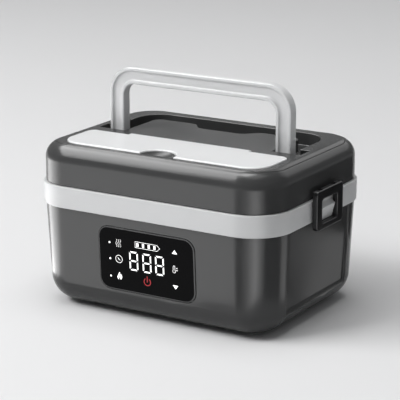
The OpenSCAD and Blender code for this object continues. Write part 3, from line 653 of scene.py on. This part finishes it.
def level(z):
    """Height on the window of a point at z."""
    return (z - WINDOW_Z) / math.cos(DRAFT)


def make_marks():
    """Lit symbols on the window, and the red power symbol."""
    bm = bmesh.new()
    for z in (64.6, 50.8, 35.8):
        mark(bm, circle(-35.1, level(z), 0.85, 16))
    for u in (-28.4, -26.5, -24.6):
        wave = [(u + 0.55 * math.sin(k * 0.8), level(65.0) - 3.3 + k * 0.55) for k in range(13)]
        stroke(bm, wave, 0.24)
    stroke(bm, circle(-26.5, level(51.5), 3.2, 28), 0.34, closed=True)
    stroke(bm, [(-27.6, level(52.9)), (-26.5, level(51.2)), (-25.4, level(50.6))], 0.42)
    flame = [(0.3, 3.4), (0.5, 1.6), (1.0, 0.5), (1.5, 1.9), (2.2, 0.5), (2.3, -1.1), (1.7, -2.5),
             (0.8, -3.1), (0.7, -1.8), (0, -0.7), (-0.7, -1.8), (-0.8, -3.1), (-1.7, -2.5),
             (-2.2, -1.3), (-2.1, -0.2), (-1.4, 0.5), (-0.9, 1.8), (-0.3, 2.8)]
    mark(bm, [(u - 26.6, v + level(36.9)) for u, v in flame])
    low, high = level(66.4) - 2.5, level(66.4) + 2.5
    case = [(-10.2, low), (10.6, low), (13.2, low + 2.5), (10.6, high), (-10.2, high)]
    stroke(bm, case, 0.3, closed=True)
    for u in (-8, -2.6, 2.8, 8.2):
        left, right, foot, head = u - 0.95, u + 0.95, low + 0.9, high - 0.9
        mark(bm, [(left, foot), (right, foot), (right, head), (left, head)])
    for u in (-12.2, 0.4, 12.5):
        digit(bm, u, level(51.9))
    for z, way in ((65.8, 1), (36.2, -1)):
        v = level(z)
        mark(bm, [(27 - 2.5, v - 1.5 * way), (27 + 2.5, v - 1.5 * way), (27, v + 1.8 * way)][::way])
    v = level(51.4)
    stem = circle(26.1, v + 2.1, 0.8, 8, 0, 180) + circle(26.1, v - 1.8, 1.3, 14, 130, 410)
    stroke(bm, stem, 0.3, closed=True)
    for dv in (-0.8, 1.0):
        stroke(bm, [(28.2, v + dv), (29.3, v + dv)], 0.5)
    make_piece("display_marks", bm, "base", mark_white)
    bm = bmesh.new()
    v = level(36.1)
    stroke(bm, circle(0.1, v, 3.1, 24, 125, 415), 0.7)
    stroke(bm, [(0.1, v - 0.4), (0.1, v + 4.7)], 0.75)
    make_piece("power_mark", bm, "base", mark_red)


# ---------------------------------------------------------------- band
def make_band():
    """Pale ring round the joint, with a catch on each short side."""
    bm = bmesh.new()
    edge = 1.0
    low, high = BAND_LOW.z, BAND_HIGH.z
    profile = [(RIM_OUT + 0.1, BAND_SEAT)]
    profile += [(CORNER_R - edge + c, BAND_SEAT + edge + s) for c, s in arc(edge, -90, 0, 4)]
    profile += [(CORNER_R - edge + c, high - edge + s) for c, s in arc(edge, 0, 90, 4)]
    profile += [(BAND_IN, high), (BAND_IN, high - BAND_LIP), (RIM_OUT + 0.1, high - BAND_LIP)]
    loft(bm, [ring(d, z) for d, z in profile], closed=True)
    shape = [(CX + CORNER_R - 1, low, 0.1), (CATCH_LOW_X, low, 0.3), (BAND_HIGH.x, CATCH_NOSE_Z, 0.8),
             (CX + CORNER_R - 0.4, CATCH_TOP_Z, 0.1), (CX + CORNER_R - 1, CATCH_TOP_Z, 0.1)]
    for side in (-1, 1):
        prism(bm, lambda t: round_poly(shape, t, 4), LOOP_Y - CATCH_HALF, LOOP_Y + CATCH_HALF,
              lambda x, z, y: (side * x, y, z), edge=0.6)
    make_piece("band_ring", bm, "base", band_white, ["band"])


# ---------------------------------------------------------------- lid
def dome_z(x, y):
    """Height of the lid's outer surface over (x, y)."""
    d = math.hypot(max(abs(x) - CX, 0), max(abs(y) - CY, 0))
    if d <= LID_FLAT:
        return LID_TOP
    return LID_FZ + math.sqrt(max(LID_FILLET ** 2 - (d - LID_FLAT) ** 2, 0))


def deck_ring(t, drop=0.0, z=None):
    """Ring along the deck's outline, moved outwards by t, on the dome or at z."""
    flat = rect_ring(DECK_X + t, DECK_Y + t, DECK_R + t, 0)
    return [(x, y, dome_z(x, y) - drop if z is None else z) for x, y, _ in flat]


def blend_rings(first, second, steps):
    """Rings between two rings, laid on the dome."""
    rings = []
    for k in range(1, steps):
        f = k / steps
        mixed = [Vector(a).lerp(Vector(b), f) for a, b in zip(first, second)]
        rings.append([(p.x, p.y, dome_z(p.x, p.y)) for p in mixed])
    return rings


def make_lid_shell():
    """Domed shell of the lid, open where the deck sits, with the latches' lugs."""
    bm = bmesh.new()
    inner = LID_R - LID_WALL
    rings = [ring(inner, LID_Z0), ring(LID_R - 0.5, LID_Z0), ring(LID_R - 0.15, LID_Z0 + 0.15)]
    rings.append(ring(LID_R, LID_Z0 + 0.5))
    low_arc = arc(LID_FILLET, 0, 27, 6)
    rings += [ring(LID_FLAT + c, LID_FZ + s) for c, s in low_arc]
    edge = deck_ring(DECK_GAP + 0.25)
    rings += blend_rings(rings[-1], edge, 9)
    rings += [edge, deck_ring(DECK_GAP + 0.07, 0.08), deck_ring(DECK_GAP, 0.28)]
    rings += [deck_ring(DECK_GAP, z=LEDGE_Z), ring(LEDGE_IN, LEDGE_Z), ring(LEDGE_IN, LEDGE_Z - LEDGE_T)]
    rings.append(ring(inner, LEDGE_Z - LEDGE_T))
    loft(bm, rings, closed=True)
    x, z = LATCH_PIN
    lug = [(CX + LID_R - 1, z - LUG_R, 0.2), (x + LUG_R, z - LUG_R, 1.6), (x + LUG_R, z + LUG_R, 1.6),
           (CX + LID_R - 1, z + LUG_R, 0.2)]
    for side in (-1, 1):
        for y0, y1 in (LUG_Y, (-LUG_Y[1], -LUG_Y[0])):
            prism(bm, lambda t: round_poly(lug, t, 4), y0, y1,
                  lambda a, b, y: (side * a, y, b), edge=0.3)
    make_piece("lid_shell_skin", bm, "lid", lid_grey, ["lid_shell"], sharp=50)


def accent_rings():
    """Rings of the deck's margin, with a fine line sunk along each short side."""
    line_d, half, depth = 20.1, 0.35, 0.3
    front, back = -44.0, 50.0
    rings = []
    for offset, drop in [(-half, 0), (-half * 0.6, 1), (half * 0.6, 1), (half, 0)]:
        points = []
        for x, y, _ in ring(line_d + offset, 0):
            sunk = drop and front < y < back and abs(x) > CX + 10
            points.append((x, y, dome_z(x, y) - (depth if sunk else 0)))
        rings.append(points)
    return rings


def make_deck():
    """Deck let into the lid's top, with the handle's groove and the flap's recess."""
    bm = bmesh.new()
    outer = deck_ring(-0.25)
    rings = [deck_ring(0, z=LEDGE_Z + 0.1), deck_ring(0, 0.28), deck_ring(-0.07, 0.08), outer]
    flat = ring(LID_FLAT - 0.8, LID_TOP)
    line = accent_rings()
    rings += blend_rings(outer, line[-1], 5) + line[::-1]
    rings += blend_rings(line[0], flat, 2) + [flat]
    rows = loft(bm, rings)

    def groove(t):
        return round_poly(GROOVE, t, 8)

    def recess(t):
        return round_poly(RECESS, t, 8)

    def trough(t):
        return round_poly(TROUGH, t, 8)

    def slot(t):
        box = [(-SLOT_X, -19.2, 0.2), (SLOT_X, -19.2, 0.2), (SLOT_X, SLOT_Y, 0.3), (-SLOT_X, SLOT_Y, 0.3)]
        return round_poly(box, t, 3)

    groove_rows = loft(bm, well_rings(groove, LID_TOP, GROOVE_Z, 0.6, 0.8))
    recess_rows = loft(bm, well_rings(recess, LID_TOP, RECESS_Z, 0.35, 0.1))
    fill(bm, [rows[-1], groove_rows[0], recess_rows[0], dish(bm)])
    fill(bm, [groove_rows[-1]])
    trough_rows = loft(bm, well_rings(trough, RECESS_Z, TROUGH_Z, 0.4, 1.5))
    slot_rows = loft(bm, well_rings(lambda t: slot(t - 0.6), RECESS_Z, SLOT_Z, 0.1, 0.3))
    fill(bm, [recess_rows[-1], trough_rows[0], slot_rows[0]])
    fill(bm, [trough_rows[-1]])
    fill(bm, [slot_rows[-1]])
    make_piece("lid_deck_top", bm, "lid", deck_grey, ["lid_deck"], sharp=50)


def dish(bm):
    """Half-round finger dish sunk into the island; returns its rim."""
    sphere = (DISH_R ** 2 + DISH_DEPTH ** 2) / (2 * DISH_DEPTH)
    lip = 0.5                           # the straight edge lies this far in front of NOTCH_Y
    middle = Vector((0, NOTCH_Y - lip))
    lean = math.degrees(math.asin(lip / DISH_R))

    def sunk(q):
        rise = math.sqrt(sphere ** 2 - q.x ** 2 - (q.y - NOTCH_Y) ** 2)
        return bm.verts.new((q.x, q.y, LID_TOP - DISH_DEPTH + sphere - rise))

    shares = (1, 0.93, 0.83, 0.7, 0.55, 0.4, 0.25, 0.12)
    rays = []
    for p in circle(0, NOTCH_Y, DISH_R, 32, -lean, 180 + lean):
        rays.append([sunk(middle.lerp(Vector(p), f)) for f in shares])
    centre = sunk(middle)
    for near, far in zip(rays, rays[1:]):
        for k in range(len(near) - 1):
            bm.faces.new((near[k], near[k + 1], far[k + 1], far[k]))
        bm.faces.new((near[-1], centre, far[-1]))
    low = rays[-1] + [centre] + rays[0][::-1]
    top = [low[0]] + [bm.verts.new((v.co.x, v.co.y, LID_TOP)) for v in low[1:-1]] + [low[-1]]
    for k in range(len(low) - 1):
        corners = [low[k], low[k + 1], top[k + 1], top[k]]
        bm.faces.new([v for i, v in enumerate(corners) if v not in corners[:i]])
    return [ray[0] for ray in rays] + top[1:-1]


def make_cutlery_flap():
    """White flap with a half-round notch and the barrel it turns on."""
    bm = bmesh.new()
    z0 = FLAP_HIGH.z - FLAP_T

    def outline(t):
        return round_poly(FLAP, t, 10)

    rows = loft(bm, plate_rings(outline, z0, FLAP_HIGH.z, (0.3, 0.3), (1.7, 1.2), steps=5))
    fill(bm, [rows[0]], normal=(0, 0, -1))
    fill(bm, [rows[-1]])
    back = -21.6
    barrel = [(back, z0), (BARREL_Y - 1.5, z0)]
    barrel += [(BARREL_Y + c, BARREL_Z + s) for c, s in arc(BARREL_R, -110, 90, 14)]
    barrel += [(back, FLAP_HIGH.z)]
    centre = Vector((sum(p[0] for p in barrel), sum(p[1] for p in barrel))) / len(barrel)

    def shrink(t):
        return [Vector(p) + (centre - Vector(p)).normalized() * -t for p in barrel]

    prism(bm, shrink, -BARREL_X, BARREL_X, lambda y, z, x: (x, y, z), edge=0.25)
    make_piece("cutlery_flap_skin", bm, "flap", flap_white, ["cutlery_flap"])


# ---------------------------------------------------------------- handle
def arch_path(inset):
    """Points of the handle's arch from the left foot over to the right foot."""
    f = inset / HANDLE_BAR
    half = HANDLE_X
    outer_c = (half - HANDLE_R, HANDLE_HIGH.z - HANDLE_R)
    inner_c = (half - HANDLE_BAR - HANDLE_INNER_R, HANDLE_HIGH.z - HANDLE_BAR - HANDLE_INNER_R)
    turn = []
    for c, s in arc(1, 180, 90, 14):
        outer = Vector((-outer_c[0] + HANDLE_R * c, outer_c[1] + HANDLE_R * s))
        inner = Vector((-inner_c[0] + HANDLE_INNER_R * c, inner_c[1] + HANDLE_INNER_R * s))
        turn.append(outer.lerp(inner, f))
    foot = [(turn[0].x, z) for z in leg_heights()]
    left = [Vector(p) for p in foot] + turn
    return left + [Vector((-p.x, p.y)) for p in reversed(left)]


def leg_heights():
    """Heights of the leg's cross-sections, from its round end up."""
    end = [PIVOT_Z + HANDLE_T / 2 * math.sin(math.radians(a)) for a in (-90, -75, -60, -45, -30, -15, 0)]
    return end + [PIVOT_Z + CHANNEL_FOOT, PIVOT_Z + CHANNEL_FOOT + CHANNEL_RAMP, PIVOT_Z + 8, PIVOT_Z + 20]


def handle_section():
    """Cross-section as (inset from the outer edge, y); y runs front to back."""
    front, back = -HANDLE_T / 2, HANDLE_T / 2
    bar_w, rib, deep, e = HANDLE_BAR, 2.8, 2.0, 1.0
    section = [(e - e * c, front + e - e * s) for c, s in arc(1, 0, 90, 4)]
    section += [(rib - 0.7, front), (rib - 0.25, front + 0.15), (rib, front + 0.6),
                (rib + 0.5, front + deep - 0.5), (rib + 1.4, front + deep - 0.15), (rib + 2.8, front + deep)]
    mirrored = [(bar_w - t, y) for t, y in reversed(section)]
    rear = [(bar_w - e + e * c, back - e + e * s) for c, s in arc(1, 0, 90, 4)]
    rear += [(bar_w - t, y) for t, y in reversed(rear)]
    return section + mirrored + rear


def make_handle():
    """Carrying handle with a hollow front face and a nub on each leg."""
    bm = bmesh.new()
    section = handle_section()
    paths = [arch_path(t) for t, _ in section]
    stations = len(paths[0])
    heights = leg_heights()
    rings = []
    for i in range(stations):
        j = min(i, stations - 1 - i)
        z = heights[j] if j < len(heights) else HANDLE_HIGH.z
        squeeze = 1.0
        if z < PIVOT_Z:
            squeeze = math.sqrt(max(1 - ((PIVOT_Z - z) / (HANDLE_T / 2)) ** 2, 0.0004))
        channel = min(max((z - PIVOT_Z - CHANNEL_FOOT) / CHANNEL_RAMP, 0), 1)
        points = []
        for path, (t, y) in zip(paths, section):
            inside = RIB_EDGE < t < HANDLE_BAR - RIB_EDGE and y < 0
            depth = -HANDLE_T / 2 + (y + HANDLE_T / 2) * channel if inside else y
            points.append((path[i].x, PIVOT_Y + depth * squeeze, path[i].y))
        rings.append(points)
    rows = loft(bm, rings)
    cap(bm, rows[0])
    cap(bm, rows[-1])
    for side in (-1, 1):
        knob = Vector((side * (HANDLE_X - 0.3), PIVOT_Y + KNOB_Y, PIVOT_Z + KNOB_Z))
        dot_rings = []
        for r, out in [(1.9, 0), (1.7, 0.5), (1.3, 1.0), (0.6, 1.3)]:
            dot_rings.append([knob + Vector((side * out, r * math.cos(a), r * math.sin(a)))
                              for a in full_turn(20)])
        dots = loft(bm, dot_rings)
        cap(bm, dots[0])
        cap(bm, dots[-1])
    make_piece("handle_arch", bm, "carry_handle", handle_pale, ["handle"])


# ---------------------------------------------------------------- latches
def make_latch(name, body, node, side):
    """Loop with rounded edges and, behind its outer skin, two slots for the lid's lugs."""
    bm = bmesh.new()
    ym, zm = (LATCH_LOW.y + LATCH_HIGH.y) / 2, (LATCH_LOW.z + LATCH_HIGH.z) / 2
    half_w, half_h = LATCH_HIGH.y - ym, LATCH_HIGH.z - zm
    loop_w, loop_h, loop_z = LOOP
    lm = loop_z + loop_h / 2
    slot_z = LATCH_SLOT_Z - zm
    near, far = LUG_Y[0] - LUG_GAP, LUG_Y[1] + LUG_GAP
    corners = [(-half_w, -half_h, LATCH_R), (half_w, -half_h, LATCH_R), (half_w, half_h, LATCH_R)]
    for y0, y1 in ((far, near), (-near, -far)):
        corners += [(y0 - ym, half_h, 0.1), (y0 - ym, slot_z, 0.1),
                    (y1 - ym, slot_z, 0.1), (y1 - ym, half_h, 0.1)]
    corners.append((-half_w, half_h, LATCH_R))

    def outer(t, slots):
        points = [(p.x + ym, p.y) for p in round_poly(corners, t, 8)]
        in_slot = [near - 1.5 < abs(y) < far + 1.5 and z > 0 for y, z in points]
        return [(y, zm + (half_h + t if hit and not slots else z)) for (y, z), hit in zip(points, in_slot)]

    def inner(t):
        box = rounded_box(loop_w, loop_h, LOOP_R)
        return [(p.x + LOOP_Y, p.y + lm) for p in round_poly(box, t, 8)]

    def place(x, outline):
        return [(side * x, y, z) for y, z in outline]

    x0, x1 = LATCH_LOW.x, LATCH_HIGH.x
    edge = 0.9
    outside = [place(x0, outer(-0.3, True)), place(x0 + 0.3, outer(0, True)),
               place(LATCH_SKIN_X, outer(0, True)), place(LATCH_SKIN_X, outer(0, False))]
    outside += [place(x1 - edge + s, outer(c - edge, False)) for c, s in arc(edge, 0, 90, 4)]
    inside = [place(x0, inner(0.3)), place(x0 + 0.3, inner(0))]
    inside += [place(x1 - edge + s, inner(edge - c)) for c, s in arc(edge, 0, 90, 4)]
    outer_rows, inner_rows = loft(bm, outside), loft(bm, inside)
    for row in (0, -1):
        fill(bm, [outer_rows[row], inner_rows[row]], normal=(1, 0, 0))
    make_piece(name, bm, body, latch_black, [node])


# ---------------------------------------------------------------- CAD nodes that stay
def dress(material, *names):
    """Gives CAD nodes that stay a material."""
    for name in names:
        mesh = NODES[name].data
        mesh.materials.clear()
        mesh.materials.append(material)


# ---------------------------------------------------------------- scene
def make_floor():
    """Plain pale floor."""
    made, tree, shader = base_material("floor_pale", 0.85, specular=0.0)
    cloud = noise(tree, coordinates(tree), 0.4, 2.0)
    colours = two_colours(tree, cloud, (0.77, 0.77, 0.775), (0.79, 0.79, 0.795))
    tree.links.new(colours, shader.inputs["Base Color"])
    bm = bmesh.new()
    rows = loft(bm, [[(r * math.cos(a), r * math.sin(a), 0) for a in full_turn(64)] for r in (1, 4, 9)])
    cap(bm, rows[0])
    mesh = bpy.data.meshes.new("floor")
    bm.to_mesh(mesh)
    bm.free()
    mesh.materials.append(made)
    floor = bpy.data.objects.new("floor", mesh)
    bpy.context.scene.collection.objects.link(floor)


def direction(azimuth, elevation):
    """Unit vector towards azimuth (0 is the front, 90 the right) and elevation."""
    a, e = math.radians(azimuth), math.radians(elevation)
    return Vector((math.sin(a) * math.cos(e), -math.cos(a) * math.cos(e), math.sin(e)))


def add_lamp(name, place, facing, size, power, diffuse=True, glossy=True):
    """Rectangular lamp at place, in metres, that shines along facing."""
    data = bpy.data.lights.new(name, "AREA")
    data.shape = "RECTANGLE"
    data.size, data.size_y = size
    data.energy = power
    lamp = bpy.data.objects.new(name, data)
    bpy.context.scene.collection.objects.link(lamp)
    lamp.location = place
    lamp.rotation_mode = "QUATERNION"
    lamp.rotation_quaternion = (-facing).to_track_quat("Z", "Y")
    lamp.visible_camera = False
    lamp.visible_diffuse = diffuse
    lamp.visible_glossy = glossy


def add_softbox(name, azimuth, elevation, distance, size, power, diffuse=True, glossy=True):
    """Lamp that faces the middle of the box."""
    towards = direction(azimuth, elevation)
    add_lamp(name, Vector((0, 0, 0.08)) + towards * distance, -towards, size, power, diffuse, glossy)


def add_fan(name, corner, near, far, glows):
    """Flat reflector just over the floor that only reflections show. It fans out from
    corner, from near to far, and glows holds (azimuth, glow) with 1 as white."""
    made = bpy.data.materials.new(name)
    made.use_nodes = True
    tree = made.node_tree
    tree.nodes.clear()
    glow = tree.nodes.new("ShaderNodeAttribute")
    glow.attribute_name = "glow"
    emission = tree.nodes.new("ShaderNodeEmission")
    output = tree.nodes.new("ShaderNodeOutputMaterial")
    tree.links.new(glow.outputs["Fac"], emission.inputs["Strength"])
    tree.links.new(emission.outputs["Emission"], output.inputs["Surface"])
    bm = bmesh.new()
    layer = bm.verts.layers.float.new("glow")
    spoke = 8                           # widest step, in degrees
    spokes = []
    for (a0, g0), (a1, g1) in zip(glows, glows[1:]):
        count = max(1, math.ceil(abs(a1 - a0) / spoke))
        spokes += [(a0 + (a1 - a0) * k / count, g0 + (g1 - g0) * k / count) for k in range(count)]
    spokes.append(glows[-1])
    inner_edge = 0.77                   # straight up to 40 degrees either side, then round
    rows = []
    for azimuth, strength in spokes:
        along = direction(azimuth, 0)
        start = near / max(math.cos(math.radians(azimuth)), inner_edge)
        row = [bm.verts.new(Vector(corner) * MM + along * reach) for reach in (start, far)]
        for v in row:
            v[layer] = strength
        rows.append(row)
    for here, there in zip(rows, rows[1:]):
        bm.faces.new((here[0], here[1], there[1], there[0]))
    mesh = bpy.data.meshes.new(name)
    bm.to_mesh(mesh)
    bm.free()
    mesh.materials.append(made)
    card = bpy.data.objects.new(name, mesh)
    bpy.context.scene.collection.objects.link(card)
    card.visible_camera = False
    card.visible_diffuse = False
    card.visible_transmission = False
    card.visible_shadow = False


def make_lights():
    """Studio light. What has diffuse off, and every fan, shows in reflections only;
    these were placed for the photograph's view and are too bright in some others."""
    world = bpy.data.worlds.new("studio")
    bpy.context.scene.world = world
    world.use_nodes = True
    background = world.node_tree.nodes["Background"]
    background.inputs["Color"].default_value = (0.98, 0.99, 1.0, 1)
    background.inputs["Strength"].default_value = 0.22
    add_softbox("key", -45, 45, 3.0, (1.8, 1.2), 66, glossy=False)
    add_softbox("overhead", 0, 88, 3.0, (2.0, 2.0), 38)
    add_softbox("rear", 170, 32, 1.4, (1.2, 0.6), 3, diffuse=False)
    add_lamp("left_wall", (-1, -0.4, 1.65), Vector((1, 0, 0)), (1.7, 1.3), 96, diffuse=False)
    add_lamp("left_wall_rear", (-1, 1.2, 1.45), Vector((1, 0, 0)), (1.5, 0.9), 27, diffuse=False)
    add_lamp("ceiling_left", (-0.75, 0.3, 3.0), Vector((0, 0, -1)), (1.1, 1.4), 60, diffuse=False)
    front_right = (85, -60, 2)
    add_fan("left_fan", (-80, -52, 1), 0.065, 0.7, [(-104, 3), (-92, 8), (-62, 8), (-48, 3.6), (40, 3.6)])
    add_fan("front_fan", front_right, 0.075, 0.6, [(-60, 3.6), (-27, 3.6), (-18, 0), (-7, 0),
                                                  (10, 2), (35, 7.5), (55, 2), (62, 0)])
    add_fan("right_fan", front_right, 0.075, 0.28, [(62, 0), (108, 0), (114, 1.9), (130, 1.9), (137, 0.1),
                                                    (143, 0), (150, 0.3), (156, 0.8), (165, 0.8)])
    add_fan("right_flag", front_right, 0.215, 1.0, [(62, 0), (172, 0)])


def make_camera():
    """Camera fitted to the photograph's view."""
    target = Vector((-0.607, 0.0, 84.893)) * MM
    azimuth, elevation, roll = 31.527, 15.453, -0.131
    distance, lens, sensor = 1.5009, 161.94, 36.0
    data = bpy.data.cameras.new("camera")
    data.lens, data.sensor_width = lens, sensor
    data.clip_start, data.clip_end = 0.05, 60
    camera = bpy.data.objects.new("camera", data)
    bpy.context.scene.collection.objects.link(camera)
    back = direction(azimuth, elevation)
    camera.location = target + back * distance
    camera.rotation_mode = "QUATERNION"
    turn = back.to_track_quat("Z", "Y")
    camera.rotation_quaternion = turn @ Quaternion((0, 0, 1), math.radians(roll))
    bpy.context.scene.camera = camera


make_camera()
make_lights()
make_floor()
make_lower_body()
make_socket_collar()
make_window()
make_marks()
make_band()
make_lid_shell()
make_deck()
make_cutlery_flap()
make_handle()
make_latch("latch_loop_right", "right_latch", "latch_right", 1)
make_latch("latch_loop_left", "left_latch", "latch_left", -1)
dress(cover_black, "bottom_cover")
dress(rubber_black, "feet")
dress(steel_bright, "bottom_screws", "board_screws", "lid_screws", "handle_pins", "flap_pins",
      "latch_pins", "heater_bracket", "cell_strips")
dress(alu_satin, "heating_pan", "ptc_heater")
dress(steel_brushed, "food_container")
dress(cap_pale, "container_lid")
dress(inner_pale, "lid_inner_cover")
dress(silicone, "container_seal", "vent_plug", "lid_gasket")
dress(socket_black, "dc_socket", "led_module", "cell_holder_front", "cell_holder_rear", "temp_sensor")
dress(board_green, "display_board", "power_board")
dress(ribbon_beige, "display_ribbon")
dress(pad_felt, "insulation_pad")
dress(ceramic, "thermal_fuse")
dress(cell_wrap, "battery_cells")
dress(wire_red, "heater_lead", "battery_lead")
dress(wire_black, "socket_lead")

bpy.context.scene.view_settings.view_transform = "Standard"
